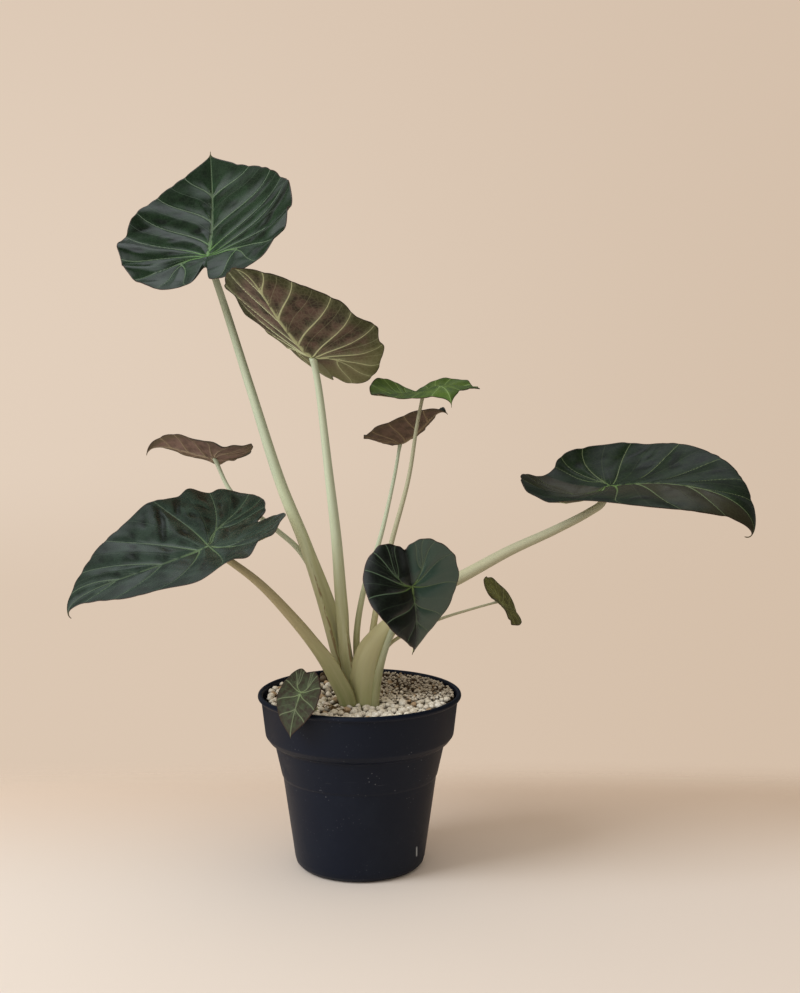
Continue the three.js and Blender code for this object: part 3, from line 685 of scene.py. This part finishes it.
# Painted shade: the grains towards the back right, under the leaves, are painted darker.
shade = smooth_rise(rests[:, 0] * 0.5 + rests[:, 1] * 0.8 + draw.normal(0, 9, len(rests)), 22, 48)
pumice = Finish("pumice", Specular_IOR_Level=0.25)
spot = pumice.place()
kind_wire, painted_shade_wire, tuck_wire = (pumice.attribute(key) for key in ("kind", "shade", "tuck"))
pore = pumice.cells(spot, 1500).ramp(0.34, 0.1) * pumice.noise(spot, 500, 2).ramp(0.42, 0.6)
dusty = pumice.noise(spot, 420, 4, 0.65)
tan = kind_wire.ramp(0.86, 0.9) * kind_wire.ramp(0.97, 0.95)
dark = kind_wire.ramp(0.985, 0.99) + painted_shade_wire * kind_wire.ramp(0.22, 0.18)
# The coat over the back right grains and the coat over each grain's lower side are painted shade.
stone = pumice.coats((232, 224, 205), (kind_wire, (251, 247, 236)), (tan, (192, 166, 134)),
                     (painted_shade_wire * 0.6, (132, 116, 92)), (dark, (62, 48, 34)),
                     (dusty.ramp(0.4, 0.7) * 0.2, (150, 128, 98)), (pore * 0.6, (92, 76, 56)),
                     (tuck_wire.ramp(-0.6, 0.35) * 0.92, (74, 58, 40)))
pumice.wear(stone, 0.9 + dusty * 0.08, dusty * 0.5 - pore * 0.35)
each = points.shape[1]
dressing = make_piece("dressing", points.reshape(-1, 3), [faces], pumice,
                      kind=np.repeat(kind, each), shade=np.repeat(shade, each), tuck=tuck.ravel())
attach(dressing, "root")
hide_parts("pumice")

# Dry moss. Four small tufts of brown, curled threads lie among the grains, where the mix's moss came up.

MOSS_TUFTS = [(-26, -31, 9, 70), (-15, -46, 5, 26), (22, 22, 7, 40), (57, 8, 6, 24)]
THREAD_POINTS = 7


def moss_feet():
    """Where the threads start. A tuft has its middle, its reach and its number of threads."""
    feet = [np.column_stack([draw.normal(x, reach * 0.5, number), draw.normal(y, reach * 0.4, number)])
            for x, y, reach, number in MOSS_TUFTS]
    return np.vstack(feet)


def moss_threads(feet):
    """Each thread is a thin four-sided tube on an arc that starts at its foot and curls over the grains."""
    each = (len(feet), 1, 1)
    share = np.linspace(0, 1, THREAD_POINTS)[None, :, None]
    turn = draw.uniform(0, 2 * np.pi, each) + draw.normal(0, 2.2, each) * share
    length = draw.uniform(3, 8, each)
    level = bed_level(np.linalg.norm(feet, axis=1))[:, None, None]
    lift = level + draw.uniform(1.6, 4, each) + draw.uniform(0.2, 1.6, each) * np.sin(np.pi * share)
    line = np.concatenate([np.cumsum(np.cos(turn) * length / THREAD_POINTS, 1) + feet[:, None, :1],
                           np.cumsum(np.sin(turn) * length / THREAD_POINTS, 1) + feet[:, None, 1:], lift], -1)
    angle = np.arange(4) * np.pi / 2
    body = np.sin(np.pi * np.linspace(0.12, 0.88, THREAD_POINTS))[None, :, None]
    thick = draw.uniform(0.18, 0.42, each) * body
    across = np.concatenate([-np.sin(turn), np.cos(turn), 0 * turn], -1)
    tube = line[:, :, None] + thick[..., None] * (across[:, :, None] * np.cos(angle)[:, None]
                                                 + np.array([0, 0, 1]) * np.sin(angle)[:, None])
    corner = np.arange(4)
    faces = np.vstack([strip_faces(THREAD_POINTS, 4)[:, ::-1], corner, 4 * THREAD_POINTS - 1 - corner])
    starts = 4 * THREAD_POINTS * np.arange(len(feet))[:, None, None]
    return tube.reshape(-1, 3), (faces[None] + starts).reshape(-1, 4)


fibre = Finish("dry_moss")
strand_noise = fibre.noise(fibre.place(), 600, 3, 0.6)
brown = fibre.mix(strand_noise.ramp(0.35, 0.65), (84, 66, 40), (140, 116, 76))
fibre.wear(brown, 0.9, strand_noise * 0.2)
moss_points, moss_faces = moss_threads(moss_feet())
moss = make_piece("dry_moss", moss_points, [moss_faces], fibre)
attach(moss, "root")

# Leaf blades. Shield-shaped, leathery blades joined to their petioles inside the outline. The upper side
# is dark satin green with sunken pale veins, and the underside is mauve brown with raised olive veins.

HALF_OUTLINE = np.array([(1, 0), (0.94, 0.03), (0.8, 0.25), (0.6, 0.58), (0.35, 0.86), (0.05, 1),
                         (-0.45, 0.93), (-0.85, 0.66), (-1, 0.38), (-0.9, 0.12)], float)
FULL_HALF = 92
JUNCTION_THICKNESS = 1.6
MARGIN_LOSS = 0.7
BEND_STEPS = 24
VEIN_END = 0.985
NOTCH_REACH = 4.5
NOTCH_DEPTH = 0.75


class Blade:
    """One blade. From the junction it reaches the front to the tip, the half to each side and the rear to
    the back of its lobes, and the sinus is what the notch leaves of the rear. In degrees, the midrib bends
    down by the arch, by the hook near the tip, by the drip at the very tip, and by the drop to the rear.
    Left and right are each a half's fold at the midrib, its curl out to the margin, and its twist towards
    the tip. A vein has the share of the midrib that it leaves at, and its end on the outline from 0 at the
    tip to 1 at the sinus. The basal ends are those of the vein into the rear lobe and of its branch. Veins,
    basal ends and the height of the puckers come for the left half, then the right. Tones are those of the
    upper side, and of its veins near the junction and beyond. The painted brown sheen browns the right half
    and the painted grey sheen greys the left one: both are painted reflections. Margin, lobe and below
    colour the edge, the underside's rear and the underside."""

    rings = 48
    taper, lean, bow, drip = 0, 0, 0.05, 0
    wave, waves = 1.5, 4
    puckers = (0.3, 0.3)
    veins = ([(0.58, 0.22), (0.34, 0.31), (0.1, 0.385), (0, 0.48), (0, 0.58)],) * 2
    basal = ((0.7, 0.79),) * 2
    gloss, shine, painted_brown_sheen, painted_grey_sheen = 0.45, 0.42, 0, 0
    margin = lobe = None
    below = ((54, 43, 31), (100, 78, 68), (66, 67, 36), (208, 212, 166))

    def __init__(self, **given):
        self.__dict__.update(given)
        self.size = self.half / FULL_HALF
        self.columns = 10 * round(0.45 * self.rings)

    def flattened(self, along, across):
        """A place on the blade, laid flat, in millimetres from the junction."""
        return np.stack([along * np.where(along > 0, self.front, self.rear), across * self.half], -1)


BLADES = {
    "low_left": Blade(
        front=147, half=91, rear=71, sinus=0.71, taper=-0.1, lean=-0.02, arch=-6, hook=58, drip=95,
        drop=-16, left=(-5, 17, -9), right=(14, 15, 10), wave=3, waves=4.5, bow=-0.04, puckers=(0.5, 1.7),
        basal=((0.77, 0.7), (0.73, 0.8)), rings=72, gloss=0.25, shine=0.55,
        veins=([(0.6, 0.17), (0.31, 0.26), (0.06, 0.36), (0, 0.49), (0, 0.62)],
               [(0.58, 0.15), (0.3, 0.22), (0.06, 0.32), (0, 0.47), (0, 0.61)]),
        tones=((42, 56, 46), (92, 112, 78), (78, 94, 72))),
    "right": Blade(
        front=177, half=102, rear=74, sinus=0.89, taper=0.02, lean=0.11, arch=35, hook=114, drip=80,
        drop=-46, left=(-9, 25, -9), right=(0, 20, -12), wave=0.9, bow=0.02, puckers=(0.9, 1.1),
        basal=((0.72, 0.81), (0.72, 0.81)), rings=76, gloss=0.28, shine=0.18, painted_brown_sheen=0.7,
        veins=([(0.56, 0.2), (0.33, 0.28), (0.22, 0.37), (0.1, 0.48), (0, 0.59)],
               [(0.47, 0.21), (0.19, 0.3), (0.06, 0.4), (0, 0.5), (0, 0.6)]),
        tones=((22, 38, 16), (96, 122, 66), (92, 104, 74))),
    "low_front": Blade(
        front=69, half=48, rear=44, sinus=0.78, arch=33, hook=3, drop=-13, left=(21, 5, -24),
        right=(12, -47, 35), wave=1, basal=((0.72, 0.8), (0.71, 0.8)), gloss=0.3, shine=0.5, painted_grey_sheen=0.9,
        veins=([(0.46, 0.23), (0.23, 0.32), (0, 0.47), (0, 0.61)],
               [(0.46, 0.29), (0.22, 0.42), (0, 0.53), (0, 0.63)]),
        tones=((10, 18, 10), (96, 122, 62), (78, 98, 76))),
    "high_middle": Blade(
        front=150, half=84, rear=59, sinus=0.63, taper=0.11, lean=-0.21, arch=-24, hook=62, drop=3,
        left=(29, 23, 0), right=(9, 6, 0), wave=3, waves=4.5, puckers=(0.5, 0.5),
        basal=((0.66, 0.74), (0.64, 0.74)), rings=72, gloss=0.42,
        veins=([(0.66, 0.17), (0.43, 0.25), (0.17, 0.35), (0, 0.42), (0, 0.5), (0, 0.58)],
               [(0.62, 0.18), (0.38, 0.27), (0.14, 0.36), (0, 0.44), (0, 0.53)]),
        tones=((50, 72, 38), (110, 130, 74), (84, 100, 60)), lobe=(124, 122, 84)),
    "high_left": Blade(
        front=160, half=92, rear=69, sinus=0.35, taper=0.18, lean=-0.09, arch=-34, hook=12, drop=-12,
        left=(7, 18, 10), right=(7, 32, 10), wave=4.5, waves=5, bow=0.08, puckers=(0.8, 0.8),
        basal=((0.63, 0.73), (0.61, 0.7)), rings=72, gloss=0.22, shine=0.58,
        veins=([(0.61, 0.21), (0.38, 0.3), (0.14, 0.375), (0, 0.45), (0, 0.535)],
               [(0.61, 0.25), (0.3, 0.335), (0.08, 0.385), (0, 0.44), (0, 0.52)]),
        tones=((28, 47, 28), (96, 134, 70), (88, 104, 80))),
    "small_right": Blade(
        front=50, half=28, rear=19, sinus=0.68, taper=-0.09, lean=-0.05, arch=16, hook=90, drop=-2,
        left=(20, -9, 3), right=(17, -44, -14), wave=0.8, puckers=(0.15, 0.15), rings=36, gloss=0.5,
        shine=0.2, tones=((104, 106, 56), (140, 148, 96), (134, 140, 92)), margin=(82, 82, 40)),
    "small_middle_front": Blade(
        front=96, half=52, rear=34, sinus=0.8, taper=-0.11, lean=0.02, arch=23, hook=88, drip=20, drop=-40,
        left=(0, -5, -18), right=(-7, 26, -30), gloss=0.42, shine=0.2,
        tones=((84, 106, 42), (130, 154, 84), (122, 146, 88)), margin=(62, 84, 34)),
    "small_middle_back": Blade(
        front=82, half=42, rear=22, sinus=0.59, arch=-34, hook=97, drop=-31, left=(19, 12, 15),
        right=(24, -17, 4), tones=((58, 76, 42), (110, 130, 74), (90, 108, 64)),
        below=((74, 58, 46), (98, 77, 65), (82, 68, 50), (138, 120, 92))),
    "small_left": Blade(
        front=71, half=47, rear=40, sinus=0.4, lean=0.03, arch=-4, hook=112, drop=-46, left=(17, -35, 3),
        right=(21, -22, -10), tones=((52, 64, 42), (110, 124, 74), (90, 100, 64)),
        below=((112, 89, 80), (138, 112, 102), (108, 94, 72), (168, 150, 124))),
    "over_rim": Blade(
        front=42, half=26, rear=21, sinus=0.85, taper=0.06, arch=21, hook=11, drop=-6, left=(9, -4, -6),
        right=(6, -12, 8), wave=0.6, puckers=(0.15, 0.15), rings=36, gloss=0.5, shine=0.25,
        veins=([(0.36, 0.3), (0.04, 0.42), (0, 0.58)],) * 2,
        tones=((60, 67, 48), (122, 140, 98), (108, 118, 90)), margin=(50, 44, 35)),
}


def half_outline(blade, place):
    """A smooth curve through the half outline's points, straight across the midrib at both ends. The
    taper widens or narrows it towards the tip."""
    points = np.vstack([HALF_OUTLINE, [-blade.sinus, 0]])
    last = len(points) - 1
    points = np.vstack([points[1] * [1, -1], points, points[-2] * [1, -1]])
    scaled = np.asarray(place, float) * last
    start = np.clip(np.floor(scaled).astype(int), 0, last - 1)
    share = (scaled - start)[..., None]
    a, b, c, d = (points[start + step] for step in range(4))
    curve = (2 * b + (c - a) * share + (2 * a - 5 * b + 4 * c - d) * share**2
             + (3 * b - a - 3 * c + d) * share**3) / 2
    return curve[..., 0], np.abs(curve[..., 1]) * (1 + blade.taper * curve[..., 0])


def blade_points(leaf, blade, along, across, side):
    """The blade's middle surface. The midrib bends evenly with its arch and its drop, and ever faster with
    its hook and its drip. Each half is an arc out of the midrib that starts at the fold and curls evenly
    to the margin, where a wave lifts and lowers it."""
    tip_way, left_way, up_way = leaf_axes(leaf)
    fold, curl, twist = (np.where(side > 0, *pair) for pair in zip(blade.left, blade.right))
    forward = along >= 0
    reach = np.abs(along)

    def slope(share):
        bent = -(np.radians(blade.arch) * share + np.radians(blade.hook) * share**6)
        bent = bent - np.radians(blade.drip) * share**26
        return np.where(forward, bent, np.radians(blade.drop) * share)

    middles = [slope(reach * (step + 0.5) / BEND_STEPS) for step in range(BEND_STEPS)]
    length = np.where(forward, blade.front, -blade.rear) * reach
    run = length * np.mean(np.cos(middles), axis=0)
    rise = length * np.mean(np.sin(middles), axis=0)
    lean = slope(reach)
    start = np.radians(fold + twist * along)
    turn = np.radians(curl)
    half = blade.half * (1 + blade.lean * side)
    lateral = half * (np.sin(start + turn * across) - np.sin(start)) / turn
    lift = half * (np.cos(start) - np.cos(start + turn * across)) / turn
    lift = lift + blade.wave * across**3 * np.sin(blade.waves * np.pi * along + side * 1.3)
    run, rise = run - np.sin(lean) * lift, rise + np.cos(lean) * lift
    spine = up_way * np.cos(lean)[..., None] - tip_way * np.sin(lean)[..., None]
    middle = np.array(leaf.route[-1]) + run[..., None] * tip_way + (side * lateral)[..., None] * left_way
    return middle + rise[..., None] * up_way, spine


def vein_lines(blade):
    """The veins on the flattened blade, in millimetres: a bent line, its width at the root and at the end,
    its strength, and its end on the outline where it reaches it. Each is an arc from its root to just
    inside the outline, pushed towards the tip by the bow. A finer vein runs between each two."""
    size = blade.size
    midrib = np.column_stack([np.linspace(0, 0.97 * blade.front, 25), np.zeros(25)])
    lines = [(midrib, 5.2 * size + 0.6, 0.7, 1.0, 0)]

    def root_at(share):
        return np.array([share * blade.front, 0])

    def arc(start, place, side, bow):
        along, across = half_outline(blade, place)
        share = np.linspace(0, 1, 15)[:, None]
        chord = blade.flattened(along, side * across) * VEIN_END - start
        push = np.array([np.abs(chord[1]), -chord[0] * np.sign(chord[1])]) * 6.75
        return start + chord * share + push * (bow * share * (1 - share) ** 2 - 0.04 * share**2 * (1 - share))

    for side, fan, basal in zip((1, -1), blade.veins, blade.basal):
        for (root, place), (next_root, next_place) in zip(fan, [*fan[1:], (0, basal[0])]):
            lines.append((arc(root_at(root), place, side, blade.bow), 1.7 * size + 0.3, 0.55, 1.0, place))
            between = arc(root_at(root * 0.55 + next_root * 0.45), (place + next_place) / 2, side, blade.bow)
            lines.append((between, 0.5 * size + 0.1, 0.3, 0.2, 0))
        main = arc(np.zeros(2), basal[0], side, 0.1)
        lines.append((main, 2.0 * size + 0.3, 0.6, 1.0, basal[0]))
        for number, place in enumerate((*basal[1:], 0.87)):
            branch = arc(main[3 + 2 * number], place, side, 0.08)
            lines.append((branch, 1.2 * size + 0.2, 0.5, 0.85, place))
    return lines


def nearest_vein(lines, flat):
    """For each point of the flattened blade: the signed distance to its nearest vein, which is positive on
    the vein's left, the plain distance, the vein's width there and its strength, and the plain distance
    to the nearest of the strong veins."""
    best, strong = np.full((2, len(flat)), 1e6)
    signed, width, strength = np.zeros((3, len(flat)))
    for line, root_width, end_width, power, _ in lines:
        start, step = line[:-1], np.diff(line, axis=0)
        to_point = flat[:, None] - start
        share = np.clip((to_point * step).sum(-1) / (step**2).sum(-1), 0, 1)
        off = to_point - share[..., None] * step
        far = np.hypot(off[..., 0], off[..., 1])
        pick = far.argmin(1)
        rows = np.arange(len(flat))
        distance = far[rows, pick]
        turn = step[pick, 0] * to_point[rows, pick, 1] - step[pick, 1] * to_point[rows, pick, 0]
        gone = (pick + share[rows, pick]) / len(step)
        closer = distance < best
        best = np.where(closer, distance, best)
        signed = np.where(closer, distance * np.sign(turn), signed)
        width = np.where(closer, root_width + (end_width - root_width) * gone**0.7, width)
        strength = np.where(closer, power, strength)
        strong = np.minimum(strong, distance) if power > 0.5 else strong
    return signed, best, width, strength, strong


def pucker(flat, seed):
    """Soft quilting: the sum of nine slow waves that run more or less along the flat blade. What rises
    above a tenth is pressed flat, so broad cushions stand between narrow wrinkles."""
    waves = np.random.default_rng(seed)
    angle, length, phase = waves.uniform(-0.8, 0.8, 9), waves.uniform(9, 30, 9), waves.uniform(0, 6.3, 9)
    run = flat[:, :1] * np.cos(angle) + flat[:, 1:] * np.sin(angle)
    total = (np.sin(2 * np.pi * run / length + phase) * length / 30).sum(1) / 3
    return -np.log1p(np.exp(-5 * (total - 0.1))) / 5 + 0.25


def blade_shell(name, leaf, blade):
    """The whole blade as one closed skin. Rings run from the junction out to the margin on both sides, and
    a narrow hem closes them. The lamina swells between the veins. On the upper side the veins lie in
    grooves, and underneath they stand up as ridges. The margin has a small notch where a vein ends."""
    rings, columns = blade.rings, blade.columns
    fine = np.linspace(0, 1, 4001)
    along, across = half_outline(blade, fine)
    gone = way_gone(blade.flattened(along, across))
    mixed = 0.75 * gone / gone[-1] + 0.25 * fine
    steps = columns // 2
    place = np.interp(np.linspace(0, 1, steps + 1), mixed, fine)
    place = np.concatenate([place, place[-2:0:-1]])
    side = np.where(np.arange(columns) <= steps, 1.0, -1.0)
    along, across = half_outline(blade, place)
    lines = vein_lines(blade)
    where = np.interp(place, fine, gone)
    notch = sum(bell(where - np.interp(end, fine, gone), NOTCH_REACH) for *_, end in lines if end)
    rim = 1 - NOTCH_DEPTH * notch / (blade.half * 0.9) * smooth_rise(blade.half, 20, 60)
    share = np.concatenate([[0], np.repeat(np.arange(1, rings + 1) / rings, columns)])

    def tiled(values):
        """The values round the outline, for the junction and then for every ring."""
        return np.concatenate([values[:1], np.tile(values, rings)])

    shrink = 1 - (1 - tiled(rim)) * share**6
    along, across, side = tiled(along) * share * shrink, tiled(across) * share * shrink, tiled(side)
    middle, spine = blade_points(leaf, blade, along, across, side)
    step = 0.01
    held = np.maximum(across, step)
    ahead, behind = (blade_points(leaf, blade, along + way, held, side)[0] for way in (step, -step))
    outer, inner = (blade_points(leaf, blade, along, held + way, side)[0] for way in (step, -step))
    normal = unit(np.cross(ahead - behind, outer - inner) * side[:, None])
    crease = smooth_rise(across * blade.half, 0, 9)[:, None]
    normal = unit(spine * (1 - crease) + normal * crease)
    flat = blade.flattened(along, side * across)
    signed, gap, width, strength, strong = nearest_vein(lines, flat)
    size = blade.size
    calm = 1 - share**5
    swell = (4.4 * (1 - np.exp(-strong / (10 * size))) - 1.8) * size * calm * smooth_rise(share, 0, 0.12)
    hump = pucker(flat, len(name)) * smooth_rise(strong, 1, 6) * (0.5 + smooth_rise(across, 0.35, 0.85))
    hump = hump * np.where(side > 0, *blade.puckers) * calm
    swell += hump
    groove = 0.35 * size * strength * bell(gap, 0.8 * width) * calm
    thick = JUNCTION_THICKNESS - MARGIN_LOSS * np.minimum(1, np.hypot(along, across))
    thick = thick * (1 - 0.45 * smooth_rise(share, 0.93, 1))
    ridge = 0.5 * size * strength * bell(gap, 0.7 * width) * calm
    ridge += 0.9 * size * bell(flat[:, 1], 1.8) * np.clip(1 - along, 0, 1) * smooth_rise(along, 0.01, 0.08)
    upper = middle + normal * (thick / 2 + swell - groove)[:, None]
    lower = middle + normal * (-thick / 2 + swell * 0.9 - ridge)[:, None]
    last = slice(-columns, None)
    outwards = unit(middle[last] - middle[-2 * columns:-columns])
    edge = (upper[last] + lower[last]) / 2 + outwards * 0.04
    skin = np.vstack([upper, lower, edge])
    block = 1 + rings * columns
    ring = np.arange(columns)
    after = (ring + 1) % columns
    fan, quads = fan_faces(0, 1, columns), 1 + strip_faces(rings, columns)[:, ::-1]
    above, seam, below = 1 + (rings - 1) * columns, 2 * block, block + 1 + (rings - 1) * columns
    hem = np.vstack([np.stack([above + ring, seam + ring, seam + after, above + after], -1),
                     np.stack([seam + ring, below + ring, below + after, seam + after], -1)])
    faces = [fan, quads, block + fan[:, ::-1], block + quads[:, ::-1], hem]
    inward = (1 - share) * tiled(np.hypot(*flat[last].T))
    varying = dict(flat=np.column_stack([flat, 0 * share]), vein=signed, gap=gap, width=width,
                   strength=strength, strong=strong, hump=hump, along=along, edge=inward,
                   from_stalk=np.hypot(*flat.T))
    varying = {key: np.concatenate([values, values, values[last]]) for key, values in varying.items()}
    varying["under"] = np.concatenate([np.zeros(block), np.ones(block), np.full(columns, 0.5)])
    return skin, faces, varying


def blade_finish(name, blade):
    """The blade's skin. A vein is a crisp line where the signed distance is small and the plain distance
    agrees. Fine cross veins are the edges of stretched cells."""
    size = blade.size
    skin = Finish("blade_" + name, Specular_IOR_Level=blade.shine)
    flat = skin.attribute("flat", "Vector")
    signed, gap, width, strength, strong, edge, from_stalk, along, under, hump = (
        skin.attribute(key) for key in ("vein", "gap", "width", "strength", "strong", "edge", "from_stalk",
                                        "along", "under", "hump"))
    under = under.ramp(0.4, 0.6)
    half = width * (under * 0.15 + 0.5)
    line = abs(signed).ramp(half + 0.35, half * 0.5) * gap.ramp(half + 3.4, half + 1.6) * strength
    halo = strong.ramp(7 * size, 0.5)
    middle = from_stalk.ramp(46 * size, 4 * size)
    mottle = skin.noise(flat, 0.05 / size, 3, 0.5)
    fine = skin.noise(flat, 0.5, 1, 0.5)
    net = skin.cells(skin.scaled(flat, 0.3, 0.3, 0.3), 0.7 / size**0.5, "DISTANCE_TO_EDGE").ramp(0.16, 0.0)
    top, bright, vein = blade.tones
    dark, light = ((*(channel * share for channel in paint(*top)[:3]), 1.0) for share in (0.5, 1.5))
    aside = skin.split(flat)[1]
    # Painted reflections: a painted brown sheen over the right half, and a painted grey sheen over the left
    # half, given as colour.
    painted_brown_sheen = aside.ramp(1, -4) * (aside + mottle * 60).ramp(-40, 10) * blade.painted_brown_sheen
    # Darker towards the margin. In the puckers' hollows darker still, and near black in the deepest wrinkles:
    # painted shade.
    upper = skin.coats(
        blade.margin or dark, (mottle.ramp(0.38, 0.62), top),
        (edge.ramp(26 * size, 3 * size) * 0.6 + hump.ramp(0.0, -0.6) * 0.3, blade.margin or dark),
        (hump.ramp(0.02, -0.45) * 0.75, (9, 14, 10)), (halo * 0.25 + middle * 0.25, light),
        (painted_brown_sheen, (54, 49, 36)), (aside.ramp(-1, 6) * blade.painted_grey_sheen, (52, 76, 66)),
        (net * 0.05, vein), (line * 0.9, skin.mix(middle, vein, bright)))
    shaded, mauve, olive, pale = blade.below
    lower = skin.coats(shaded, (mottle.ramp(0.36, 0.6), mauve),
                       ((edge.ramp(30 * size, 2 * size) + (mottle - 0.5)).ramp(0.1, 0.95), olive))
    if blade.lobe:
        rear = (along + (mottle - 0.5) * 0.8).ramp(0.1, -0.55)
        lower = skin.mix(rear * 0.8, lower, blade.lobe)
    lower = skin.coats(lower, (net * 0.07 + halo * 0.14, pale), (line * 0.95, pale))
    tone = skin.coats(upper, (under, lower), ((edge + fine * 0.7).ramp(1.5, 0.7) * 0.8, (52, 30, 25)),
                      (along.ramp(0.93, 0.99) * 0.7, (110, 98, 66)))
    relief = line * -0.25 * (1 - under) + (line * 0.4 + net * 0.05) * under
    rough = blade.gloss + mottle * 0.1 + fine * 0.06 + under * 0.16 - 0.06
    skin.wear(tone, rough, relief * min(1, size * 1.2) + mottle * 0.3 * size)
    return skin


for name, blade in BLADES.items():
    points, faces, varying = blade_shell(name, LEAVES[name], blade)
    lamina = make_piece("lamina_" + name, points, faces, blade_finish(name, blade), **varying)
    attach(lamina, "root")
    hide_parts("blade_" + name)
